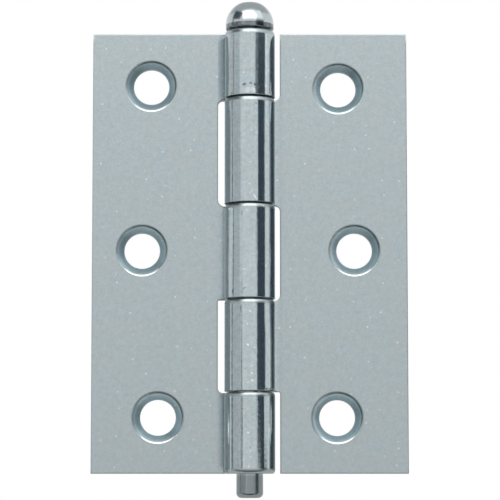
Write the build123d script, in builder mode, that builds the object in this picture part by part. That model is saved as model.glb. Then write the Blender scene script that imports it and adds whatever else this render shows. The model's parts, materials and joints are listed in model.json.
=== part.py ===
from build123d import *

import os
from math import asin, atan2, cos, degrees, hypot, sin, sqrt

# A narrow butt hinge, pressed from zinc-plated sheet steel and lying open.
# +Z runs up the pin, the countersunk faces look towards -Y, and the frame leaf is on the -X side.
# The origin is on the pin's axis, half-way up the leaves. Everything is in millimetres.

LEAF_HEIGHT = 70.0
OPEN_WIDTH = 50.0
SHEET = 1.85
BARREL_RADIUS = 4.0
LEAF_FRONT = 1.4  # how far the countersunk faces lie behind the pin's axis
SAME = 0.001  # lengths that differ by less than this are the same

# The five knuckles, counted from the top: the heights where they meet, and the play between them.
KNUCKLE_JOINTS = (24.3, 7.35, -7.7, -22.25)
JOINT_PLAY = 0.25
FRAME_KNUCKLES = (0, 2, 4)
DOOR_KNUCKLES = (1, 3)

# The notch opposite each knuckle: how far its root lies from the pin's axis, in the frame leaf (-1) and
# in the door leaf (1), and the rounding of its upper and lower corner, where the punches are worn.
NOTCH_ROOTS = {-1: 5.1, 1: 4.85}
NOTCH_CORNERS = ((1.0, 0.9), (1.0, 1.0), (1.0, 0.9), (0.3, 0.7), (0.3, 1.0))

# The sheet bends back a little at the notch roots, then rolls round the pin until it nearly closes.
BEND_RADIUS = 3.0
ROLL_GAP = 0.2
DIE_ROLL = 0.35  # rounding that shearing leaves along the back edges of the sheet
END_ROLL = 0.6  # the same at the top and the foot of the hinge, where the edges are dressed

# Countersunk holes for 4 mm wood screws, as (x, z), in a zigzag so that they don't split the wood.
SCREW_RADIUS = 2.825
SINK_RADIUS = 4.0
SINK_ANGLE = 90
FRAME_SCREWS = ((-15.7, 26.6), (-17.1, 0.25), (-14.5, -26.2))
DOOR_SCREWS = ((14.1, 26.2), (16.6, 0.25), (13.8, -26.25))

# The pin: a button head, a shank that runs in all five knuckles, and a foot that stands out below.
PIN_PLAY = 0.05
HEAD_RADIUS = 3.8
HEAD_HEIGHT = 4.4
HEAD_RIM = 0.9  # the straight band below the dome
HEAD_ROUND = 0.2
HEAD_LIFT = 0.3  # the pin isn't driven quite home
CROWN_ROUND = 2.0  # where the dome meets the small flat on its crown
FOOT_LENGTH = 3.8  # below the barrel
FOOT_ROUND = 0.8

TOP = LEAF_HEIGHT / 2
MIDDLE_Y = LEAF_FRONT + SHEET / 2
MIDDLE_RADIUS = BARREL_RADIUS - SHEET / 2
BORE_RADIUS = BARREL_RADIUS - SHEET
PIN_RADIUS = BORE_RADIUS - PIN_PLAY
CROWN_FLAT = sqrt(HEAD_RADIUS**2 - (HEAD_HEIGHT - HEAD_RIM) ** 2)  # its radius, before it is rounded
HEIGHTS = (TOP, *KNUCKLE_JOINTS, -TOP)

WRAP = 270 + degrees(asin((BORE_RADIUS - ROLL_GAP) / BARREL_RADIUS))


def strap_slope(side):
    """How far the straps slope back from the notch roots, so that they meet the rolls as tangents."""
    root = NOTCH_ROOTS[side]
    return asin(MIDDLE_RADIUS / hypot(root, MIDDLE_Y)) - atan2(MIDDLE_Y, root)


def sheet_section(side):
    """The leaf seen from above: plate, bend, sloping strap and roll, one sheet thick all the way."""
    root = (side * NOTCH_ROOTS[side], MIDDLE_Y)
    slope = strap_slope(side)
    with BuildSketch() as section:
        with BuildLine() as middle:
            Line((side * OPEN_WIDTH / 2, MIDDLE_Y), root)
            strap = Line(root, (side * MIDDLE_RADIUS * sin(slope), MIDDLE_RADIUS * cos(slope)))
            JernArc(strap @ 1, strap % 1, MIDDLE_RADIUS, side * WRAP)
            fillet(middle.vertices().sort_by_distance(root)[0], BEND_RADIUS)
        trace(line_width=SHEET)
    return section.sketch


def notch(side, knuckle, start, rounded):
    """The sheet punched away in one leaf beside a knuckle of the other leaf, seen from the front."""
    top = HEIGHTS[knuckle] + (JOINT_PLAY / 2 if knuckle > 0 else SHEET)
    foot = HEIGHTS[knuckle + 1] - (JOINT_PLAY / 2 if knuckle < 4 else SHEET)
    root = NOTCH_ROOTS[side]
    reach = root + BARREL_RADIUS + SHEET
    with BuildSketch(Plane.XZ.offset(-start)) as punched:
        with Locations((side * (root - reach / 2), (top + foot) / 2)):
            Rectangle(reach, top - foot)
        for end, radius in zip((-1, 0), NOTCH_CORNERS[knuckle]):
            if rounded:
                corners = punched.vertices().group_by(Axis.X)[-1 if side > 0 else 0]
                fillet(corners.sort_by(Axis.Y)[end], radius)
    return punched.sketch


def screw_places(screws):
    """A plane on the countersunk face for each screw, looking out of it."""
    return [Plane(origin=(x, LEAF_FRONT, z), z_dir=(0, -1, 0)) for x, z in screws]


def is_back(face):
    """Is this face on the back of the plate, its bend and its straps, or on the outside of a roll?"""
    if face.geom_type == GeomType.CYLINDER:
        return min(abs(face.radius - r) for r in (BARREL_RADIUS, BEND_RADIUS - SHEET / 2)) < SAME
    faces_back = face.normal_at().Y > cos(2 * strap_slope(1))
    return face.geom_type == GeomType.PLANE and faces_back and face.center().Y > MIDDLE_Y


def sheared_edges(leaf, ends):
    """The edges round the back of the sheet, at the hinge's two ends or elsewhere, without its roll ends."""
    edges = leaf.faces().filter_by(is_back).edges()
    outline = ShapeList(edge for edge in edges if edges.count(edge) == 1)
    roll_ends = outline.filter_by(Axis.Z).filter_by(lambda edge: edge.center().Y < MIDDLE_Y)
    at_ends = outline.filter_by(lambda edge: abs(abs(edge.center().Z) - TOP) < SAME)
    return at_ends if ends else outline - roll_ends - at_ends


os.makedirs("parts", exist_ok=True)

# Frame leaf: the left one, with the top, the middle and the bottom knuckle.
with BuildPart() as frame_leaf:
    with BuildSketch(Plane.XY.offset(-TOP)):
        add(sheet_section(-1))
    extrude(amount=LEAF_HEIGHT)
    for knuckle in DOOR_KNUCKLES:
        extrude(notch(-1, knuckle, BARREL_RADIUS, True), amount=OPEN_WIDTH, mode=Mode.SUBTRACT)
        extrude(notch(-1, knuckle, LEAF_FRONT, False), amount=OPEN_WIDTH, mode=Mode.SUBTRACT)
    fillet(sheared_edges(frame_leaf.part, False), DIE_ROLL)
    fillet(sheared_edges(frame_leaf.part, True), END_ROLL)
    with Locations(*screw_places(FRAME_SCREWS)):
        CounterSinkHole(SCREW_RADIUS, SINK_RADIUS, 2 * SHEET, SINK_ANGLE)
frame_leaf.part.label = "frame_leaf"
export_step(frame_leaf.part, "parts/frame_leaf.step")

# Door leaf: the right one, with the second and the fourth knuckle, which run in the frame leaf's notches.
with BuildPart() as door_leaf:
    with BuildSketch(Plane.XY.offset(-TOP)):
        add(sheet_section(1))
    extrude(amount=LEAF_HEIGHT)
    for knuckle in FRAME_KNUCKLES:
        extrude(notch(1, knuckle, BARREL_RADIUS, True), amount=OPEN_WIDTH, mode=Mode.SUBTRACT)
        extrude(notch(1, knuckle, LEAF_FRONT, False), amount=OPEN_WIDTH, mode=Mode.SUBTRACT)
    fillet(sheared_edges(door_leaf.part, False), DIE_ROLL)
    fillet(sheared_edges(door_leaf.part, True), END_ROLL)
    with Locations(*screw_places(DOOR_SCREWS)):
        CounterSinkHole(SCREW_RADIUS, SINK_RADIUS, 2 * SHEET, SINK_ANGLE)
door_leaf.part.label = "door_leaf"
export_step(door_leaf.part, "parts/door_leaf.step")

# Loose pin: headed cold from wire. The dome is half a ball, with a small flat where the tool closed on it.
with BuildPart() as loose_pin:
    seat = TOP + HEAD_LIFT
    crown = seat + HEAD_HEIGHT
    foot = -TOP - FOOT_LENGTH
    with BuildSketch(Plane.XZ) as half:
        with BuildLine():
            side = Polyline(
                (CROWN_FLAT, crown),
                (0, crown),
                (0, foot),
                (PIN_RADIUS, foot),
                (PIN_RADIUS, seat),
                (HEAD_RADIUS, seat),
                (HEAD_RADIUS, seat + HEAD_RIM),
            )
            RadiusArc(side @ 1, side @ 0, -HEAD_RADIUS)
        make_face()
        corners = ((CROWN_FLAT, crown), (HEAD_RADIUS, seat), (PIN_RADIUS, foot))
        for corner, radius in zip(corners, (CROWN_ROUND, HEAD_ROUND, FOOT_ROUND)):
            fillet(half.vertices().sort_by_distance(corner)[0], radius)
    revolve(axis=Axis.Z)
loose_pin.part.label = "loose_pin"
export_step(loose_pin.part, "parts/loose_pin.step")
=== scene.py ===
"""The looks of a narrow butt hinge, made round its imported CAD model: two rolled leaves and a loose pin."""

import json
from math import asin, atan2, cos, degrees, hypot, pi, radians, sin, sqrt, tan

import bpy
from mathutils import Matrix, Vector
from mathutils.geometry import delaunay_2d_cdt


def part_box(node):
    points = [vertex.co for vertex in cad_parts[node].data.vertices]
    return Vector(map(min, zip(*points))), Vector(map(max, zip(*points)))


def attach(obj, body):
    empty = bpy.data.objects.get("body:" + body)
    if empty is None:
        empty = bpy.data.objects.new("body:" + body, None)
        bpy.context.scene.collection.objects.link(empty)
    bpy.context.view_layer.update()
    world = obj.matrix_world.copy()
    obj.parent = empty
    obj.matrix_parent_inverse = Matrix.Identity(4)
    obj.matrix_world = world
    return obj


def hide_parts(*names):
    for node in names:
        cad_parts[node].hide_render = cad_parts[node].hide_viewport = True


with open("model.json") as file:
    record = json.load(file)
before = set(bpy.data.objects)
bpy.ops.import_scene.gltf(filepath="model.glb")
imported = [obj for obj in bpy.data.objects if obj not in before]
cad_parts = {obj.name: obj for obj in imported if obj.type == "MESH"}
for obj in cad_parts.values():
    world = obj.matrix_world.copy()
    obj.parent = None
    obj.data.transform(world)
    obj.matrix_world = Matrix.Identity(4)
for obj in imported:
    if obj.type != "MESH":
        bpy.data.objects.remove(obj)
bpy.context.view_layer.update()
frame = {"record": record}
MM = 0.001


# ---- The punched blanks ----
# Each leaf starts as flat steel strip. A press tool punches its outline, the notches between its
# knuckles and its screw holes from the front, so the front edges are crisp and the back edges round.

SHEET = 1.85 * MM
CRISP = 0.10 * MM  # what is broken off the front edges
DIE_ROLL = 0.4 * MM  # how far in from the back edges punching draws them round
END_ROLL = 0.8 * MM  # the same at the top and the foot of the hinge, where the edges are dressed
UPPER_ROLL, LOWER_ROLL = 0.8 * MM, 0.14 * MM  # the same at the two ends of a knuckle
HOLE_ROLL = 0.2 * MM  # the same round the screw holes
ROLL_DEPTH = 0.42  # how deep the drawn rounding is, as a share of its width

# Where the knuckles meet, the notch roots' distance from the pin's axis, and the rounding of the upper
# and lower corner of the notch opposite each knuckle, counted from the top.
KNUCKLE_JOINTS = (24.3 * MM, 7.35 * MM, -7.7 * MM, -22.25 * MM)
JOINT_PLAY = 0.18 * MM
FRAME_ROOT, DOOR_ROOT = 5.1 * MM, 4.85 * MM
NOTCH_CORNERS = ((0, 0.9 * MM), (1 * MM, 1 * MM), (1 * MM, 0.9 * MM), (0.3 * MM, 0.7 * MM), (0.3 * MM, 0))
CORNER_STEPS = 6
BACK_STEPS = 7

SINK_RADIUS = 4 * MM
SINK_RIM = 0.45 * MM  # rounding where the countersink meets the face
EDGE_RING = 0.08 * MM  # the width of the narrow flat ring along every front edge, where its colour changes
HOLE_SIDES = 96
RIM_STEPS = 5
SOUND_FACES = 4  # the kind of result that has no face with a hole in it
NEAR = 1e-8  # points closer together than this are the same
ON_COLUMN = 1e-9  # points closer to a column than this are on it
STRAIGHT = 1e-4  # two edges that turn by less than this run on as one

mounts = {mount["name"]: mount for mount in frame["record"]["mounts"]}
leaf_low, leaf_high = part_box("door_leaf")
leaf_top, leaf_foot, leaf_edge = leaf_high.z, leaf_low.z, leaf_high.x
barrel_radius = -leaf_low.y
back = mounts["door_back"]["pos_m"][1]
front, middle = back - SHEET, back - SHEET / 2
knuckle_ends = (leaf_top, *KNUCKLE_JOINTS, leaf_foot)


def turned_corner(corner, way_in, way_out, radius):
    """The points of a quarter arc that rounds a corner between two square edges."""
    centre = corner - radius * way_in + radius * way_out
    turns = [pi / 2 * step / CORNER_STEPS for step in range(CORNER_STEPS + 1)]
    return [centre - radius * cos(turn) * way_out + radius * sin(turn) * way_in for turn in turns]


def split_at(outline, columns):
    """The same outline, with a point added wherever it crosses one of the columns."""
    points = []
    for here, after in zip(outline, outline[1:] + outline[:1]):
        points.append(here)
        crossed = [x for x in columns if min(here.x, after.x) < x < max(here.x, after.x)]
        for x in sorted(crossed, key=lambda x: abs(x - here.x)):
            points.append(here.lerp(after, (x - here.x) / (after.x - here.x)))
    return points


def leaf_outline(own_knuckles, root, tip, columns):
    """The blank's outline, anticlockwise from the front: x runs out from the pin's axis, y is the height."""
    corners = [(leaf_edge, leaf_foot, 0), (leaf_edge, leaf_foot + 2 * END_ROLL, 0)]
    corners += [(leaf_edge, leaf_top - 2 * END_ROLL, 0), (leaf_edge, leaf_top, 0)]
    last = len(KNUCKLE_JOINTS)
    for knuckle, (upper, lower) in enumerate(zip(knuckle_ends, knuckle_ends[1:])):
        play = JOINT_PLAY / 2 * (-1 if knuckle in own_knuckles else 1)
        upper += play if knuckle > 0 else 0
        lower -= play if knuckle < last else 0
        if knuckle in own_knuckles:
            corners += [(tip, upper, 0), (tip, lower, 0)]
        else:
            high, low = NOTCH_CORNERS[knuckle]
            corners.append((root, upper, high))
            corners += [(root, upper - 2 * END_ROLL, 0)] if knuckle == 0 else []
            corners += [(root, lower + 2 * END_ROLL, 0)] if knuckle == last else []
            corners.append((root, lower, low))
    points = []
    for index, (x, z, radius) in enumerate(corners):
        corner = Vector((x, z))
        if radius:
            way_in = (corner - Vector(corners[index - 1][:2])).normalized()
            way_out = (Vector(corners[(index + 1) % len(corners)][:2]) - corner).normalized()
            points += turned_corner(corner, way_in, way_out, radius)
        else:
            points.append(corner)
    return split_at(points, columns)


def edge_rolls(outline, tip):
    """How far each edge of the outline is drawn round at the back."""
    rolls = []
    for here, after in zip(outline, outline[1:] + outline[:1]):
        way = (after - here).normalized()
        knuckle_end = UPPER_ROLL if way.x < 0 else LOWER_ROLL
        if here.x == after.x == tip:
            rolls.append(0)
        elif here.y == after.y and here.y in (leaf_top, leaf_foot):
            rolls.append(END_ROLL)
        else:
            rolls.append(DIE_ROLL + (knuckle_end - DIE_ROLL) * way.x**2)
    return rolls


def hole_outline(centre, radius):
    """A screw hole, clockwise from the front, so that the steel is on its left as it is on the leaf's."""
    turns = [-2 * pi * side / HOLE_SIDES for side in range(HOLE_SIDES)]
    return [centre + radius * Vector((cos(turn), sin(turn))) for turn in turns]


def inset(outline, distances):
    """The outline moved into the steel, each edge by its own distance."""
    moved = []
    for index, here in enumerate(outline):
        run_in = (here - outline[index - 1]).normalized()
        run_out = (outline[(index + 1) % len(outline)] - here).normalized()
        turn = run_in.cross(run_out)
        before, after = distances[index - 1], distances[index]
        if abs(turn) < STRAIGHT:
            shift = before * Vector((-run_in.y, run_in.x))
        else:
            shift = (before * run_out - after * run_in) / turn
        moved.append(here + shift)
    return moved


def blank_mesh(name, outline, rolls, holes, columns, inner_lines):
    """The blank as a closed mesh: rings of points down every cut edge, and a face within the first and last.
    Both faces are creased along the columns, from edge to edge, and along the inner lines."""
    quarter = [pi / 2 * step / BACK_STEPS for step in range(BACK_STEPS + 1)]
    drawn = [(0, 1 - cos(turn), SHEET, ROLL_DEPTH * (sin(turn) - 1)) for turn in quarter]
    crisp = [(CRISP + EDGE_RING, 0, 0, 0)]
    crisp += [(CRISP * (1 - sin(turn)), 0, CRISP * (1 - cos(turn)), 0) for turn in (0, pi / 4, pi / 2)]
    hole_radius = (holes[0][0] - holes[0][HOLE_SIDES // 2]).length / 2
    sink = SINK_RADIUS - hole_radius
    rim = SINK_RIM * tan(pi / 8)
    sunk = [(sink + rim + EDGE_RING, 0, 0, 0)]
    sunk += [
        (sink + rim - SINK_RIM * sin(turn), 0, SINK_RIM * (1 - cos(turn)), 0)
        for turn in [pi / 4 * step / RIM_STEPS for step in range(RIM_STEPS + 1)]
    ]
    sunk.append((0, 0, sink, 0))
    loops = [(outline, rolls, crisp + drawn, ())]
    loops += [(hole, [HOLE_ROLL] * HOLE_SIDES, sunk + drawn, sunk[1:]) for hole in holes]

    points, faces, cut, bored = [], [], [], []
    fronts, backs = [], []
    for loop, loop_rolls, rings, cone in loops:
        count, first = len(loop), len(points)
        for ring, (step, roll_step, depth, roll_depth) in enumerate(rings):
            flat = inset(loop, [step + roll_step * roll for roll in loop_rolls])
            for index, point in enumerate(flat):
                roll = max(loop_rolls[index - 1], loop_rolls[index])
                points.append(Vector((point.x, front + depth + roll_depth * roll, point.y)))
                cut.append(0 < ring < len(rings) - 1)
                bored.append((hole_radius + step) / MM if rings[ring] in cone else 0)
            if ring:
                upper, lower = first + (ring - 1) * count, first + ring * count
                for index in range(count):
                    after = (index + 1) % count
                    faces.append((upper + index, lower + index, lower + after, upper + after))
        fronts.append(list(range(first, first + count)))
        backs.append(list(range(len(points) - count, len(points))))

    bends = []
    for x in columns:
        on_column = [index for index, point in enumerate(outline) if abs(point.x - x) < ON_COLUMN]
        on_column.sort(key=lambda index: outline[index].y)
        bends += list(zip(on_column[::2], on_column[1::2]))

    for ends, order, depth in ((fronts, 1, front), (backs, -1, back)):
        ids = [index for loop in ends for index in loop]
        inner_bends = []
        for x, low, high in inner_lines:
            inner_bends.append((len(ids), len(ids) + 1))
            ids += [len(points), len(points) + 1]
            points += [Vector((x, depth, low)), Vector((x, depth, high))]
            cut += [0, 0]
            bored += [0, 0]
        flat = [Vector((points[index].x, points[index].z)) for index in ids]
        places = {index: place for place, index in enumerate(ids)}
        regions = [[places[index] for index in loop] for loop in ends]
        made = delaunay_2d_cdt(flat, bends + inner_bends, regions, SOUND_FACES, NEAR)
        origins = made[3]
        for face, within in zip(made[2], made[5]):
            if len(within) == len(regions):
                faces.append([ids[origins[corner][0]] for corner in face][::order])

    mesh = bpy.data.meshes.new(name)
    mesh.from_pydata(points, [], faces)
    for label, values in (("cut", cut), ("bored", bored)):
        attribute = mesh.attributes.new(label, "FLOAT", "POINT")
        attribute.data.foreach_set("value", [float(value) for value in values])
    mesh.validate()
    return mesh


# ---- The rolling of the knuckles ----
# The blank's tongues are rolled forwards round a mandrel, one sheet thick all the way, and their
# straps are set back a little at the notch roots. Both are press bends, so both use one node group.

BEND_RADIUS = 3 * MM
ROLL_GAP = 0.2 * MM  # between the rolled end and the strap's front
ROLL_COLUMNS = 72

roll_radius = barrel_radius - SHEET / 2
wrap = 3 * pi / 2 + asin((barrel_radius - SHEET - ROLL_GAP) / barrel_radius)


def press_settings(root):
    """Where a blank bends and rolls when its notch roots lie this far from the pin's axis."""
    slope = asin(roll_radius / hypot(root, middle)) - atan2(middle, root)
    corner = BEND_RADIUS * tan(slope / 2)
    strap = sqrt(root**2 + middle**2 - roll_radius**2) - corner
    return {
        "Middle": middle,
        "Bend start": root + corner,
        "Bend length": BEND_RADIUS * slope,
        "Bend radius": BEND_RADIUS,
        "Roll start": root + corner - BEND_RADIUS * slope - strap,
        "Roll length": roll_radius * wrap,
        "Roll radius": roll_radius,
    }


class Wire:
    """One output of a node. Arithmetic with other wires and with numbers adds Math nodes to its tree."""

    def __init__(self, socket):
        self.socket = socket

    @staticmethod
    def feed(node, inputs):
        """Gives sockets of a node a value or a wire each."""
        for name, value in inputs.items():
            if isinstance(value, Wire):
                node.id_data.links.new(value.socket, node.inputs[name])
            else:
                node.inputs[name].default_value = value

    @staticmethod
    def node(tree, kind, settings, inputs, output=0):
        """Adds a node of any kind: first its settings, then its sockets."""
        node = tree.nodes.new(kind)
        for name, value in settings.items():
            setattr(node, name, value)
        Wire.feed(node, inputs)
        return Wire(node.outputs[output]) if node.outputs else None

    def math(self, operation, *others):
        """Adds a Math node, with this wire as its first input."""
        inputs = dict(enumerate((self, *others)))
        return Wire.node(self.socket.id_data, "ShaderNodeMath", {"operation": operation}, inputs)

    def rise(self, low, high):
        """0 where the wire is at the first value, 1 at the second, and smooth between them."""
        settings = {"interpolation_type": "SMOOTHSTEP"}
        inputs = {"Value": self, "From Min": low, "From Max": high}
        return Wire.node(self.socket.id_data, "ShaderNodeMapRange", settings, inputs)

    def __add__(self, other):
        return self.math("ADD", other)

    def __radd__(self, other):
        return self.math("ADD", other)

    def __sub__(self, other):
        return self.math("SUBTRACT", other)

    def __rsub__(self, other):
        return (self * -1.0).math("ADD", other)

    def __mul__(self, other):
        return self.math("MULTIPLY", other)

    def __rmul__(self, other):
        return self.math("MULTIPLY", other)

    def __truediv__(self, other):
        return self.math("DIVIDE", other)


def new_tree(name, inputs, outputs):
    """A geometry node tree with named sockets, and the wires that come in."""
    tree = bpy.data.node_groups.new(name, "GeometryNodeTree")
    for direction, sockets in (("INPUT", inputs), ("OUTPUT", outputs)):
        for label, kind in sockets:
            tree.interface.new_socket(label, in_out=direction, socket_type="NodeSocket" + kind)
    entry = tree.nodes.new("NodeGroupInput")
    return tree, {label: Wire(entry.outputs[label]) for label, kind in inputs}


def axes(tree, vector):
    """The x, y and z of a vector, as three wires."""
    return [Wire.node(tree, "ShaderNodeSeparateXYZ", {}, {0: vector}, output=axis) for axis in range(3)]


def vector_math(tree, operation, first, second):
    """A sum, a difference or a product of two vectors, axis by axis."""
    return Wire.node(tree, "ShaderNodeVectorMath", {"operation": operation}, {0: first, 1: second})


# One bend: the sheet past the start turns about a line beside it, to the back where the radius is positive.
press_bend, given = new_tree(
    "press bend",
    [("Position", "Vector")] + [(label, "Float") for label in ("Start", "Length", "Radius", "Middle")],
    [("Position", "Vector")],
)
x, y, z = axes(press_bend, given["Position"])
past = given["Start"] - x
turn = past.math("MAXIMUM", 0.0).math("MINIMUM", given["Length"]) / given["Radius"]
reach = given["Radius"] + given["Middle"] - y
beyond = (past - given["Length"]).math("MAXIMUM", 0.0)
before = past.math("MINIMUM", 0.0)
new_x = given["Start"] - before - reach * turn.math("SINE") - beyond * turn.math("COSINE")
new_y = given["Middle"] + given["Radius"] - reach * turn.math("COSINE") + beyond * turn.math("SINE")
bent = Wire.node(press_bend, "ShaderNodeCombineXYZ", {}, {0: new_x, 1: new_y, 2: z})
Wire.node(press_bend, "NodeGroupOutput", {}, {"Position": bent})

# A whole leaf: every point first notes its place on the strip, and then the roll and the bend move it.
rolled_leaf, given = new_tree(
    "rolled leaf",
    [("Blank", "Geometry"), ("Finish", "Material"), ("Strip place", "Vector"), ("Middle", "Float")]
    + [(step + label, "Float") for step in ("Bend", "Roll") for label in (" start", " length", " radius")],
    [("Leaf", "Geometry")],
)
place = Wire.node(rolled_leaf, "GeometryNodeInputPosition", {}, {})
on_strip = vector_math(rolled_leaf, "ADD", place, given["Strip place"])
marked = Wire.node(
    rolled_leaf,
    "GeometryNodeStoreNamedAttribute",
    {"data_type": "FLOAT_VECTOR", "domain": "POINT"},
    {"Geometry": given["Blank"], "Name": "sheet", "Value": on_strip},
)
for step, way in (("Roll", -1.0), ("Bend", 1.0)):
    bend = {"Start": given[step + " start"], "Length": given[step + " length"]}
    bend |= {"Radius": given[step + " radius"] * way, "Middle": given["Middle"], "Position": place}
    place = Wire.node(rolled_leaf, "GeometryNodeGroup", {"node_tree": press_bend}, bend)
shaped = Wire.node(rolled_leaf, "GeometryNodeSetPosition", {}, {"Geometry": marked, "Position": place})
plain = Wire.node(rolled_leaf, "GeometryNodeRealizeInstances", {}, {"Geometry": shaped})
finish = {"Geometry": plain, "Material": given["Finish"]}
finished = Wire.node(rolled_leaf, "GeometryNodeSetMaterial", {}, finish)
Wire.node(rolled_leaf, "NodeGroupOutput", {}, {"Leaf": finished})


# ---- The zinc plating ----
# The leaves are barrel plated with zinc and passivated: a satin grey with a cool cast on the plates,
# polished by the rolling tool on the knuckles, duller on cut edges. Wear has left nicks and specks.

ZINC = (0.393, 0.468, 0.499, 1)
ZINC_WARM = (0.418, 0.462, 0.472, 1)
ZINC_CUT = (0.325, 0.375, 0.385, 1)
ZINC_BORED = (0.350, 0.460, 0.500, 1)
# The colour of the painted highlight on the countersinks' left side.
ZINC_SHEEN = (0.62, 0.69, 0.73, 1)
# The colour of bare, worn zinc in the light marks and specks, and of painted highlights.
ZINC_BARE_AND_HIGHLIGHT = (0.80, 0.84, 0.86, 1)
# The colour of real dirt in the dark marks, and of the painted shade on the knuckles' ends and under the
# countersinks' burr.
ZINC_DIRT_AND_SHADE = (0.10, 0.12, 0.13, 1)

# How fine the plating's unevenness is, in features to a millimetre. The streaks run along the knuckles.
CLOUDS, PATCHES, GRAIN, STREAKS = 0.35, 1.3, 4.5, (2.6, 1, 0.10)
SPECKS = 0.42
SPECK_SIZE = (0.085, 0.03)  # where a speck fades out and where it is full, as shares of its cell
SPECK_CHANCE = (0.5, 0.6)
SPECK_STRENGTH = 0.5
TOOL_RINGS = 3.2  # in the countersinks, whose tool left them a little wavy
TOOL_WAVES = 1.2

# From where to where each finish, painted highlight and painted shade sets in, in mm: on the flat sheet,
# from the pin's axis, and in the countersinks, from the screw's axis.
POLISH_FROM_ROLLING = (4.9, 3.9)
BORED_INSIDE, BORED_OUTSIDE = (2.7, 2.8), (3.95, 3.85)
BORED_TOOL_MARKS = (2.8, 2.9)
BORED_SHEEN = (3.3, 3.75)
BORED_RIM = (3.75, 3.85)

# From where to where the surface has to face up or down on the knuckles' ends, for their painted shade, to
# the right on the countersinks' left side, for its painted highlight, down and to the left, for the painted
# shade under the burr, and up, for the rim's painted highlight.
END_FACING, LEFT_FACING, BURR_FACING, RIM_HIGHLIGHT_FACING = (0.6, 0.95), (0.25, 0.6), (0.12, 0.40), (0.05, 0.20)
BURR_DOWN, BURR_LEFT, RIM_HIGHLIGHT_UPRIGHT = 0.75, 0.6, 0.8

# How strongly each changes the tone, the roughness and the height of the surface, which is in mm.
# The knuckles' ends and the countersinks' burr get painted shade, and the countersinks' left side a painted
# highlight.
CUT_TONE, END_SHADE, BORED_SHEEN_TONE, BURR_SHADE_TONE = 0.9, 0.85, 0.45, 0.8
CLOUD_WARMTH, PATCH_TONE, GRAIN_TONE, TOOL_TONE = 1.6, 0.20, 0.28, 2.0
ROLLED_TONE, ROLLED_STREAK_TONE, ROLLED_PATCH_TONE = 0.12, 0.22, 0.2
ROUGH, ROLLED_ROUGH, GRAIN_ROUGH, CUT_ROUGH, DIRT_ROUGH = 0.24, -0.10, 0.06, 0.15, 0.2
PATCH_HEIGHT, ROLLED_PATCH_HEIGHT, STREAK_HEIGHT = 0.004, 0.008, 0.007
GRAIN_HEIGHT, ROLLED_GRAIN_HEIGHT = 0.0015, 0.002

# Where the press worked a little unevenly, in mm from the middle of the pin: the straps between the
# roll and the plate, on both sides, and the right of the fourth knuckle, which is flattest at its front
# and towards its foot. Then how strong that is.
STRAP_INSIDE, STRAP_OUTSIDE = 3.7, 3.9
STRAP_FRONT, STRAP_BACK, END_STRAPS = (1.0, 1.2), (2.4, 2.2), (22.0, 23.0)
FLAT_SIDE, FLAT_FRONT, FLAT_TOP, FLAT_FOOT = 1.8, (1.3, -2.2), (-7.9, -16.0), (-22.1, -21.7)
FLATTER, STEEPER, STEEPER_UPWARDS, FLAT_HEIGHT = 0.2, 0.07, 0.001, 0.035

# Nicks, scratches and spots, and one painted highlight, in mm: where they are seen from the front, their half
# width and half height, how far they are turned anticlockwise in degrees, and how strong they are.
DARK_MARKS = (
    (-0.85, 25.95, 0.45, 0.30, 20, 0.85),
    (0.15, 26.10, 0.34, 0.24, -20, 0.75),
    (0.90, 25.90, 0.42, 0.28, -30, 0.9),
    (1.35, 25.60, 0.30, 0.26, 0, 0.9),
    (-2.85, 24.75, 0.17, 0.17, 0, 0.8),
    (1.00, 22.95, 0.30, 0.20, 0, 0.3),
    (-1.25, 5.6, 0.14, 0.50, -8, 0.4),
    (-0.30, 6.7, 0.14, 0.12, 0, 0.5),
    (-0.85, -6.2, 0.42, 0.10, 38, 0.7),
    (-2.70, -6.65, 0.13, 0.45, 0, 0.8),
    (-1.40, -9.4, 0.12, 0.75, 4, 0.6),
    (0.05, -31.0, 0.14, 0.30, 0, 0.35),
)
LIGHT_MARKS = (
    (-0.35, 25.05, 0.65, 0.55, 30, 0.30),
    (0.55, 25.00, 0.80, 0.45, -30, 0.35),
    (0.75, 25.15, 0.65, 0.14, -45, 0.6),
    (3.15, 24.5, 0.14, 0.28, 0, 0.9),
    (-3.30, 24.45, 0.20, 0.18, 0, 0.7),
    (0.85, 8.15, 0.70, 0.09, -60, 0.8),
    (0.30, 9.0, 0.14, 0.16, 0, 0.5),
    (-0.05, 10.2, 0.14, 0.14, 0, 0.5),
    (-3.25, 6.4, 0.18, 0.20, 0, 0.8),
    (-0.36, -11.8, 0.16, 0.18, 0, 0.45),
    (-0.28, -15.05, 0.26, 0.20, -30, 0.8),
    (3.50, -14.7, 0.12, 0.50, 0, 0.8),
    (0.40, -20.6, 0.30, 0.30, 0, 0.35),
    (-0.25, -20.9, 0.30, 0.24, 0, 0.25),
    (0.10, -31.5, 0.16, 0.14, 0, 0.45),
    (-5.20, 28.1, 0.14, 0.24, 0, 0.6),
    (-3.33, -28.4, 0.15, 2.6, 0, 0.9),
    # A painted highlight: an upright bright streak on the fifth knuckle's right side.
    (3.05, -28.6, 0.12, 1.3, 0, 0.6),
)
MARK_DEPTH = 0.5 * MM  # how far through the surface a mark's colour reaches
MARK_FADE = (1.0, 0.45)  # where a mark fades out and where it is full, as shares of its size


def colour_mix(tree, factor, first, second):
    """The first colour where the factor is 0, and the second where it is 1."""
    return Wire.node(tree, "ShaderNodeMix", {"data_type": "RGBA"}, {0: factor, 6: first, 7: second}, output=2)


def noise(tree, place, scale, detail=3.0):
    """Soft cloudy noise round zero, with a scale in features per unit of the place."""
    inputs = {"Vector": place, "Scale": scale, "Detail": detail, "Roughness": 0.6}
    return Wire.node(tree, "ShaderNodeTexNoise", {}, inputs) - 0.5


def scaled(tree, vector, factor):
    """A vector or a colour multiplied by a number."""
    return Wire.node(tree, "ShaderNodeVectorMath", {"operation": "SCALE"}, {0: vector, "Scale": factor})


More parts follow.
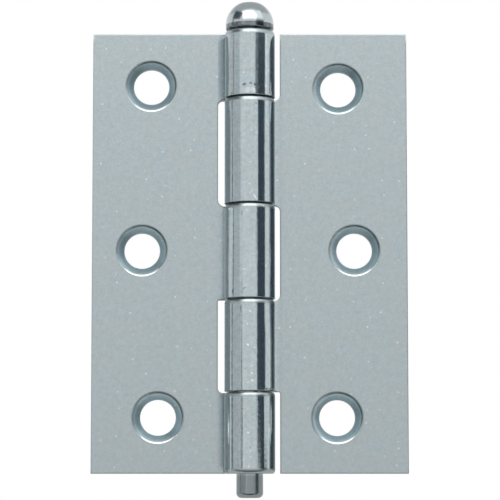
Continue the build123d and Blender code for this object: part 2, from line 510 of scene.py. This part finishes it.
def marks(tree, place, listed):
    """Where the listed marks are: the strength of the strongest one at each point."""
    strongest = None
    for x, z, wide, tall, lean, strength in listed:
        on_barrel = abs(x * MM) < barrel_radius
        y = -sqrt(barrel_radius**2 - (x * MM) ** 2) if on_barrel else front
        away = vector_math(tree, "SUBTRACT", place, (x * MM, y, z * MM))
        upright = {"Vector": away, "Angle": radians(lean)}
        away = Wire.node(tree, "ShaderNodeVectorRotate", {"rotation_type": "Y_AXIS"}, upright)
        away = vector_math(tree, "MULTIPLY", away, (1 / (wide * MM), 1 / MARK_DEPTH, 1 / (tall * MM)))
        away = Wire.node(tree, "ShaderNodeVectorMath", {"operation": "LENGTH"}, {0: away}, output="Value")
        mark = away.rise(*MARK_FADE) * strength
        strongest = strongest.math("MAXIMUM", mark) if strongest else mark
    return strongest


zinc = bpy.data.materials.new("satin_zinc")
zinc.use_nodes = True
tree = zinc.node_tree
object_place = Wire.node(tree, "ShaderNodeTexCoord", {}, {}, output="Object")
facing_x, _, facing_z = axes(tree, Wire.node(tree, "ShaderNodeTexCoord", {}, {}, output="Normal"))
sheet_place = Wire.node(tree, "ShaderNodeAttribute", {"attribute_name": "sheet"}, {}, output="Vector")
cut_edge = Wire.node(tree, "ShaderNodeAttribute", {"attribute_name": "cut"}, {}, output="Fac")
bored = Wire.node(tree, "ShaderNodeAttribute", {"attribute_name": "bored"}, {}, output="Fac")

# What is uneven on the flat sheet before it is rolled, and the rings that the countersinking tool left.
in_mm = scaled(tree, sheet_place, 1 / MM)
across, _, along = axes(tree, in_mm)
rolled = across.rise(*POLISH_FROM_ROLLING)
clouds = noise(tree, in_mm, CLOUDS)
patches = noise(tree, in_mm, PATCHES)
grain = noise(tree, in_mm, GRAIN, detail=2.0)
streaks = noise(tree, vector_math(tree, "MULTIPLY", in_mm, STREAKS), 1.0)
on_tool = {0: bored * TOOL_RINGS + patches * TOOL_WAVES, 1: 0.5, 2: 0.5}
rings = noise(tree, Wire.node(tree, "ShaderNodeCombineXYZ", {}, on_tool), 1.0)

cells = {"Vector": Wire.node(tree, "ShaderNodeCombineXYZ", {}, {0: across, 1: along}), "Scale": SPECKS}
flat = {"voronoi_dimensions": "2D"}
from_speck = Wire.node(tree, "ShaderNodeTexVoronoi", flat, cells)
chance, strength, _ = axes(tree, Wire.node(tree, "ShaderNodeTexVoronoi", flat, cells, output="Color"))
speck = from_speck.rise(*SPECK_SIZE) * chance.rise(*SPECK_CHANCE) * strength

# The plates' tone, warmer in places, then the cut edges, with painted shade on the knuckles' ends.
warmth = (clouds * CLOUD_WARMTH + 0.5).math("MAXIMUM", 0.0).math("MINIMUM", 1.0)
tone = colour_mix(tree, warmth, ZINC, ZINC_WARM)
tone = colour_mix(tree, cut_edge * CUT_TONE, tone, ZINC_CUT)
# Painted shade: the knuckles' ends, which face up or down, are darkened.
knuckle_end = cut_edge * rolled * facing_z.math("ABSOLUTE").rise(*END_FACING)
tone = colour_mix(tree, knuckle_end * END_SHADE, tone, ZINC_DIRT_AND_SHADE)

# The countersinks, with a painted highlight towards the rim on their left. The rim has a painted highlight
# where it faces up, and painted shade, as from the tool's burr, above and on the right.
tone = colour_mix(tree, bored.rise(*BORED_INSIDE) * bored.rise(*BORED_OUTSIDE), tone, ZINC_BORED)
lit_left_side = bored.rise(*BORED_SHEEN) * facing_x.rise(*LEFT_FACING)
tone = colour_mix(tree, lit_left_side * BORED_SHEEN_TONE, tone, ZINC_SHEEN)
rim = bored.rise(*BORED_RIM)
# Painted shade along the rim's upper right, where a burr would shade it.
burr_shade = (facing_z * -BURR_DOWN - facing_x * BURR_LEFT).rise(*BURR_FACING)
tone = colour_mix(tree, rim * burr_shade * (BURR_SHADE_TONE + clouds + patches), tone, ZINC_DIRT_AND_SHADE)
# Painted highlight along the rim where it faces up.
rim_highlight = (facing_z - facing_x.math("ABSOLUTE") * RIM_HIGHLIGHT_UPRIGHT).rise(*RIM_HIGHLIGHT_FACING)
tone = colour_mix(tree, rim * rim_highlight, tone, ZINC_BARE_AND_HIGHLIGHT)

# The marks of use, and one painted highlight among the light marks, lie over all of it.
light = marks(tree, object_place, LIGHT_MARKS).math("MAXIMUM", speck * SPECK_STRENGTH)
tone = colour_mix(tree, light, tone, ZINC_BARE_AND_HIGHLIGHT)
dark = marks(tree, object_place, DARK_MARKS)
tone = colour_mix(tree, dark, tone, ZINC_DIRT_AND_SHADE)

uneven = 1.0 + patches * PATCH_TONE + grain * GRAIN_TONE
uneven = uneven + rolled * (ROLLED_TONE + streaks * ROLLED_STREAK_TONE + patches * ROLLED_PATCH_TONE)
uneven = uneven + bored.rise(*BORED_TOOL_MARKS) * rings * TOOL_TONE
tone = scaled(tree, tone, uneven)
rough = ROUGH + rolled * ROLLED_ROUGH + grain * GRAIN_ROUGH + cut_edge * CUT_ROUGH + dark * DIRT_ROUGH
height = patches * (rolled * ROLLED_PATCH_HEIGHT + PATCH_HEIGHT) + streaks * rolled * STREAK_HEIGHT
height = height + grain * (rolled * ROLLED_GRAIN_HEIGHT + GRAIN_HEIGHT)

# Next to the knuckles, the door leaf's straps are pressed a little flatter than their bend alone would
# leave them. The frame leaf's two end straps are a little steeper, the upper one more so.
x, y, z = [axis / MM for axis in axes(tree, object_place)]
on_strap = y.rise(*STRAP_FRONT) * y.rise(*STRAP_BACK)
flatter = x.rise(STRAP_INSIDE, STRAP_OUTSIDE) * (DOOR_ROOT / MM - x).math("MAXIMUM", 0.0) * FLATTER
steeper = x.rise(-STRAP_INSIDE, -STRAP_OUTSIDE) * (x + FRAME_ROOT / MM).math("MAXIMUM", 0.0)
steeper = steeper * z.math("ABSOLUTE").rise(*END_STRAPS) * (z * STEEPER_UPWARDS + STEEPER)
height = height + on_strap * (flatter - steeper)

# The fourth knuckle isn't rolled quite round.
flat_side = (x - FLAT_SIDE).math("MAXIMUM", 0.0)
flat_part = y.rise(*FLAT_FRONT) * z.rise(*FLAT_TOP) * z.rise(*FLAT_FOOT)
height = height + flat_side * flat_side * flat_part * FLAT_HEIGHT

bumpy = Wire.node(tree, "ShaderNodeBump", {}, {"Strength": 1.0, "Distance": MM, "Height": height})
finish = {"Base Color": tone, "Roughness": rough, "Normal": bumpy, "Metallic": 1.0}
Wire.feed(tree.nodes["Principled BSDF"], finish)


# ---- The two leaves ----
# The frame leaf, on the left, has the top, middle and bottom knuckles. The door leaf has the two
# between them. They are punched and rolled alike, the frame leaf the other way round.

# Each leaf's side of the pin, its knuckles, and how far up the strip its blank comes from, which gives it
# its own part of the plating's pattern.
LEAVES = {"frame": (-1, (0, 2, 4), FRAME_ROOT, 0), "door": (1, (1, 3), DOOR_ROOT, 100 * MM)}
BEND_COLUMNS = 4
CLEAR = 1.4 * MM  # from a knuckle's end to the start of its bend's lines, past the notch's rounded corner
SHARP = radians(35)  # an edge that turns by more than this isn't shaded smooth

for leaf, (side, own_knuckles, root, up_the_strip) in LEAVES.items():
    settings = press_settings(root)
    roll_start, roll_length = settings["Roll start"], settings["Roll length"]
    bend_start, bend_length = settings["Bend start"], settings["Bend length"]
    tip = roll_start - roll_length
    plate_end = root + 1.5 * DIE_ROLL  # just clear of the notch roots' rounding
    columns = [plate_end] + [roll_start - roll_length * step / ROLL_COLUMNS for step in range(ROLL_COLUMNS)]
    bend_columns = [bend_start - bend_length * step / BEND_COLUMNS for step in range(BEND_COLUMNS + 1)]
    bends = [
        (column, knuckle_ends[knuckle + 1] + CLEAR, knuckle_ends[knuckle] - CLEAR)
        for knuckle in own_knuckles
        for column in bend_columns
    ]

    outline = leaf_outline(own_knuckles, root, tip, columns)
    screws = [mount for name, mount in mounts.items() if name.startswith(leaf + "_screw")]
    holes = [
        hole_outline(Vector((side * screw["pos_m"][0], screw["pos_m"][2])), screw["dims"]["r_mm"] * MM)
        for screw in screws
    ]
    punched = blank_mesh(leaf + "_blank", outline, edge_rolls(outline, tip), holes, columns, bends)
    blank = bpy.data.objects.new(leaf + "_blank", punched)
    bpy.context.scene.collection.objects.link(blank)

    roll = blank.modifiers.new("roll", "NODES")
    roll.node_group = rolled_leaf
    settings["Finish"] = zinc
    settings["Strip place"] = (0, 0, up_the_strip)
    for item in rolled_leaf.interface.items_tree:
        if item.in_out == "INPUT" and item.name in settings:
            roll[item.identifier] = settings[item.name]
    shaped = bpy.data.meshes.new_from_object(blank.evaluated_get(bpy.context.evaluated_depsgraph_get()))
    bpy.data.objects.remove(blank)

    shaped.transform(Matrix.Diagonal((side, 1, 1, 1)))
    if side < 0:
        shaped.flip_normals()
    shaped.shade_smooth()
    shaped.set_sharp_from_angle(angle=SHARP)
    piece = bpy.data.objects.new(leaf + "_leaf_rolled", shaped)
    bpy.context.scene.collection.objects.link(piece)
    even = piece.modifiers.new("even shading", "WEIGHTED_NORMAL")
    even.keep_sharp = True
    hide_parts(leaf + "_leaf")
    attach(piece, leaf + "_leaf")


# ---- The loose pin ----
# The pin is cold headed from bright wire: a button head, a plain shank and a rounded foot. The head is
# darker in a ring round the bottom of the dome, and the foot is darker and a little rougher.

PIN_RADIUS = 2.1 * MM
HEAD_SEAT = 0.3 * MM
HEAD_RIM = 0.9 * MM
HEAD_ROUND = 0.2 * MM
CROWN_ROUND = 2 * MM
FOOT_ROUND = 0.8 * MM
PIN_SIDES = 96
CROWN_STEPS, DOME_STEPS, ROUND_STEPS, FOOT_STEPS = 10, 30, 5, 8
PIN_BRIGHT, PIN_DARKER, PIN_DARK = (0.47, 0.52, 0.54, 1), (0.26, 0.30, 0.31, 1), (0.12, 0.14, 0.15, 1)
PIN_PATCHES = 1.2  # to a millimetre
DARKER_FOOT = (-34.6, -35.6)  # the heights, in mm, where the darker foot starts and where it is all darker
RING_FOOT, RING_TOP = (35.30, 35.45), (36.15, 36.05)  # likewise, for the ring round the bottom of the dome
RING_DARK, RING_PATCHES, PIN_PATCH_TONE, PIN_PATCH_HEIGHT = 0.85, 1.6, 0.12, 0.008
PIN_ROUGH, FOOT_ROUGH, PIN_PATCH_ROUGH = 0.18, 0.04, 0.04

pin_low, pin_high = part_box("loose_pin")
head_radius, crown = pin_high.x, pin_high.z
seat = leaf_top + HEAD_SEAT
dome_foot = seat + HEAD_RIM


def arc(centre, radius, start, end, steps):
    """An arc in the pin's half section, as (radius, height), from one angle to the other in degrees."""
    angles = [radians(start + (end - start) * step / steps) for step in range(steps + 1)]
    return [(centre[0] + radius * cos(angle), centre[1] + radius * sin(angle)) for angle in angles]


def turned(name, section, sides):
    """A closed solid turned about the pin's axis. Its section runs from crown to foot, off the axis."""
    turns = [2 * pi * side / sides for side in range(sides)]
    points = [(0, 0, crown)]
    points += [(reach * cos(turn), reach * sin(turn), z) for reach, z in section for turn in turns]
    points.append((0, 0, pin_low.z))
    faces = []
    for side in range(sides):
        after = (side + 1) % sides
        faces.append((0, 1 + side, 1 + after))
        for ring in range(len(section) - 1):
            upper, lower = 1 + ring * sides, 1 + (ring + 1) * sides
            faces.append((upper + side, lower + side, lower + after, upper + after))
        last = 1 + (len(section) - 1) * sides
        faces.append((last + after, last + side, len(points) - 1))
    mesh = bpy.data.meshes.new(name)
    mesh.from_pydata(points, [], faces)
    return mesh


# The arc that blends the crown's flat into the dome touches both, inside them.
blend_height = crown - CROWN_ROUND
blend_reach = sqrt((head_radius - CROWN_ROUND) ** 2 - (blend_height - dome_foot) ** 2)
blend_end = degrees(atan2(blend_height - dome_foot, blend_reach))
section = arc((blend_reach, blend_height), CROWN_ROUND, 90, blend_end, CROWN_STEPS)
section += arc((0, dome_foot), head_radius, blend_end, 0, DOME_STEPS)[1:]
section += arc((head_radius - HEAD_ROUND, seat + HEAD_ROUND), HEAD_ROUND, 0, -90, ROUND_STEPS)
section += [(PIN_RADIUS, seat)]
section += arc((PIN_RADIUS - FOOT_ROUND, pin_low.z + FOOT_ROUND), FOOT_ROUND, 0, -90, FOOT_STEPS)

pin = bpy.data.objects.new("headed_pin", turned("headed_pin", section, PIN_SIDES))
bpy.context.scene.collection.objects.link(pin)
pin.data.shade_smooth()
pin.data.set_sharp_from_angle(angle=SHARP)

bright = bpy.data.materials.new("bright_zinc")
bright.use_nodes = True
tree = bright.node_tree
place = Wire.node(tree, "ShaderNodeTexCoord", {}, {}, output="Object")
in_mm = scaled(tree, place, 1 / MM)
z = axes(tree, in_mm)[2]
patches = noise(tree, in_mm, PIN_PATCHES)
foot = z.rise(*DARKER_FOOT)
head_ring = z.rise(*RING_FOOT) * z.rise(*RING_TOP) * (patches * RING_PATCHES + RING_DARK)
tone = colour_mix(tree, foot, PIN_BRIGHT, PIN_DARKER)
tone = colour_mix(tree, head_ring.math("MINIMUM", 1.0), tone, PIN_DARK)
tone = scaled(tree, tone, 1.0 + patches * PIN_PATCH_TONE)
height = patches * PIN_PATCH_HEIGHT
bumpy = Wire.node(tree, "ShaderNodeBump", {}, {"Strength": 1.0, "Distance": MM, "Height": height})
rough = PIN_ROUGH + foot * FOOT_ROUGH + patches * PIN_PATCH_ROUGH
finish = {"Base Color": tone, "Roughness": rough, "Normal": bumpy, "Metallic": 1.0}
Wire.feed(tree.nodes["Principled BSDF"], finish)
pin.data.materials.append(bright)
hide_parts("loose_pin")
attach(pin, "loose_pin")


# ---- The studio ----
# A pale floor below the hinge, a white surround, one soft box above the camera, and cards that only
# reflections see, as a photographer sets them up to give polished metal its shape.

FLOOR_DEPTH = 45 * MM  # under the pin's foot
FLOOR_SIZE = 4.0
FLOOR_COLOUR, FLOOR_ROUGH = (0.80, 0.80, 0.79, 1), 0.9
CARD_DISTANCE = 0.3

# Each card's bearing to the right of the camera, its height, its width and how tall it is, in
# degrees, and the light it gives off where the surround gives off 1.
CARDS = {
    "right_flag": (51, 8, 40, 28, (0.06, 0.085, 0.11)),
    "right_line": (81, 17, 5, 7, (1.35, 1.40, 1.45)),
    "upper_left_line": (-93.5, 17, 2.5, 8, (0.10, 0.11, 0.12)),
    "left_line": (-87, 0, 6, 50, (0.09, 0.10, 0.11)),
    "left_grey": (-62, -3, 40, 43, (0.68, 0.70, 0.71)),
    "edge_line": (-37, -4, 4, 14, (0.14, 0.15, 0.16)),
    "upper_left_flag": (-72, 41, 42, 30, (0.09, 0.10, 0.13)),
    "upper_right_light": (55, 45, 26, 34, (1.40, 1.46, 1.48)),
    "ceiling": (0, 105, 90, 60, (0.60, 0.62, 0.63)),
    "foot_flag": (67, -10.5, 31, 9, (0.04, 0.06, 0.07)),
    "foot_grey": (-70, -10.5, 50, 9, (0.66, 0.70, 0.70)),
    "foot_line": (-28, -10.5, 6, 9, (1.4, 1.4, 1.4)),
}

# One more, dark and flat above the floor in front of the hinge: its two ends' distances and its width.
NEAR_END, FAR_END = 45 * MM, 140 * MM
LOW_WIDTH, LOW_LIGHT = 0.5, (0.06, 0.08, 0.09)


def card(name, place, way, width, tall, light):
    """A flat card that gives off an even light."""
    corners = [(-width / 2, -tall / 2, 0), (width / 2, -tall / 2, 0)]
    corners += [(width / 2, tall / 2, 0), (-width / 2, tall / 2, 0)]
    mesh = bpy.data.meshes.new(name)
    mesh.from_pydata(corners, [], [(0, 1, 2, 3)])
    mesh.transform(Matrix.Translation(place) @ way.to_track_quat("Z", "Y").to_matrix().to_4x4())
    made = bpy.data.objects.new(name, mesh)
    bpy.context.scene.collection.objects.link(made)
    made.visible_camera = made.visible_diffuse = made.visible_shadow = made.visible_transmission = False
    lit = bpy.data.materials.new(name)
    lit.use_nodes = True
    glow = {"Base Color": (0, 0, 0, 1), "Emission Color": (*light, 1)}
    glow |= {"Emission Strength": 1.0, "Specular IOR Level": 0.0}
    Wire.feed(lit.node_tree.nodes["Principled BSDF"], glow)
    mesh.materials.append(lit)


for name, (bearing, height, width, tall, light) in CARDS.items():
    bearing, height = radians(bearing), radians(height)
    way = Vector((sin(bearing) * cos(height), -cos(bearing) * cos(height), sin(height)))
    width, tall = [2 * CARD_DISTANCE * tan(radians(angle / 2)) for angle in (width, tall)]
    card(name, way * CARD_DISTANCE, way, width, tall, light)

floor_mesh = bpy.data.meshes.new("floor")
half, height = FLOOR_SIZE / 2, pin_low.z - FLOOR_DEPTH
corners = [(-half, -half, height), (half, -half, height), (half, half, height), (-half, half, height)]
floor_mesh.from_pydata(corners, [], [(0, 1, 2, 3)])
floor = bpy.data.objects.new("floor", floor_mesh)
bpy.context.scene.collection.objects.link(floor)
paper = bpy.data.materials.new("paper")
paper.use_nodes = True
Wire.feed(paper.node_tree.nodes["Principled BSDF"], {"Base Color": FLOOR_COLOUR, "Roughness": FLOOR_ROUGH})
floor_mesh.materials.append(paper)
low_place = Vector((0, -(NEAR_END + FAR_END) / 2, height + MM))
card("low_flag", low_place, Vector((0, 0, 1)), LOW_WIDTH, FAR_END - NEAR_END, LOW_LIGHT)

SURROUND = 0.75  # the surround's light on dull surfaces, where the camera and reflections see 1
world = bpy.data.worlds.new("surround")
bpy.context.scene.world = world
world.use_nodes = True
tree = world.node_tree
tree.nodes.clear()
kinds_of_ray = ("Is Camera Ray", "Is Glossy Ray", "Is Transmission Ray")
seen, *others = [Wire.node(tree, "ShaderNodeLightPath", {}, {}, output=kind) for kind in kinds_of_ray]
for kind in others:
    seen = seen.math("MAXIMUM", kind)
level = {"Color": (1, 1, 1, 1), "Strength": SURROUND + seen * (1 - SURROUND)}
Wire.node(tree, "ShaderNodeOutputWorld", {}, {"Surface": Wire.node(tree, "ShaderNodeBackground", {}, level)})

BOX_HEIGHT, BOX_DISTANCE = radians(45), 0.6
BOX_WIDTH, BOX_TALL, BOX_RADIANCE, BOX_COLOUR = 0.70, 0.44, 2.0, (1, 0.94, 0.91)
soft_box = bpy.data.lights.new("soft_box", "AREA")
soft_box.shape, soft_box.size, soft_box.size_y = "RECTANGLE", BOX_WIDTH, BOX_TALL
soft_box.color = BOX_COLOUR
soft_box.energy = BOX_RADIANCE * pi * BOX_WIDTH * BOX_TALL
lamp = bpy.data.objects.new("soft_box", soft_box)
bpy.context.scene.collection.objects.link(lamp)
way = Vector((0, -cos(BOX_HEIGHT), sin(BOX_HEIGHT)))
lamp.location = way * BOX_DISTANCE
lamp.rotation_mode = "QUATERNION"
lamp.rotation_quaternion = way.to_track_quat("Z", "Y")


# ---- The camera ----
# A long lens stands level with the hinge's foot and looks up a little, so that each knuckle's lower end
# is seen. The lens is shifted to make up for part of that tilt, which keeps the sides nearly upright.

CAMERA_DISTANCE = 0.35
CAMERA_RISE = radians(-5.3)
AIM = Vector((0.04 * MM, 0, -4.595 * MM))
LENS, SHIFT, CLIP_START = 159.9, 0.06, 0.01

camera_data = bpy.data.cameras.new("camera")
camera_data.lens, camera_data.shift_y = LENS, SHIFT
camera_data.clip_start = CLIP_START
camera = bpy.data.objects.new("camera", camera_data)
bpy.context.scene.collection.objects.link(camera)
behind = Vector((0, -cos(CAMERA_RISE), sin(CAMERA_RISE)))
camera.location = AIM + behind * CAMERA_DISTANCE
camera.rotation_mode = "QUATERNION"
camera.rotation_quaternion = behind.to_track_quat("Z", "Y")
bpy.context.scene.camera = camera
bpy.context.scene.view_settings.view_transform = "Standard"
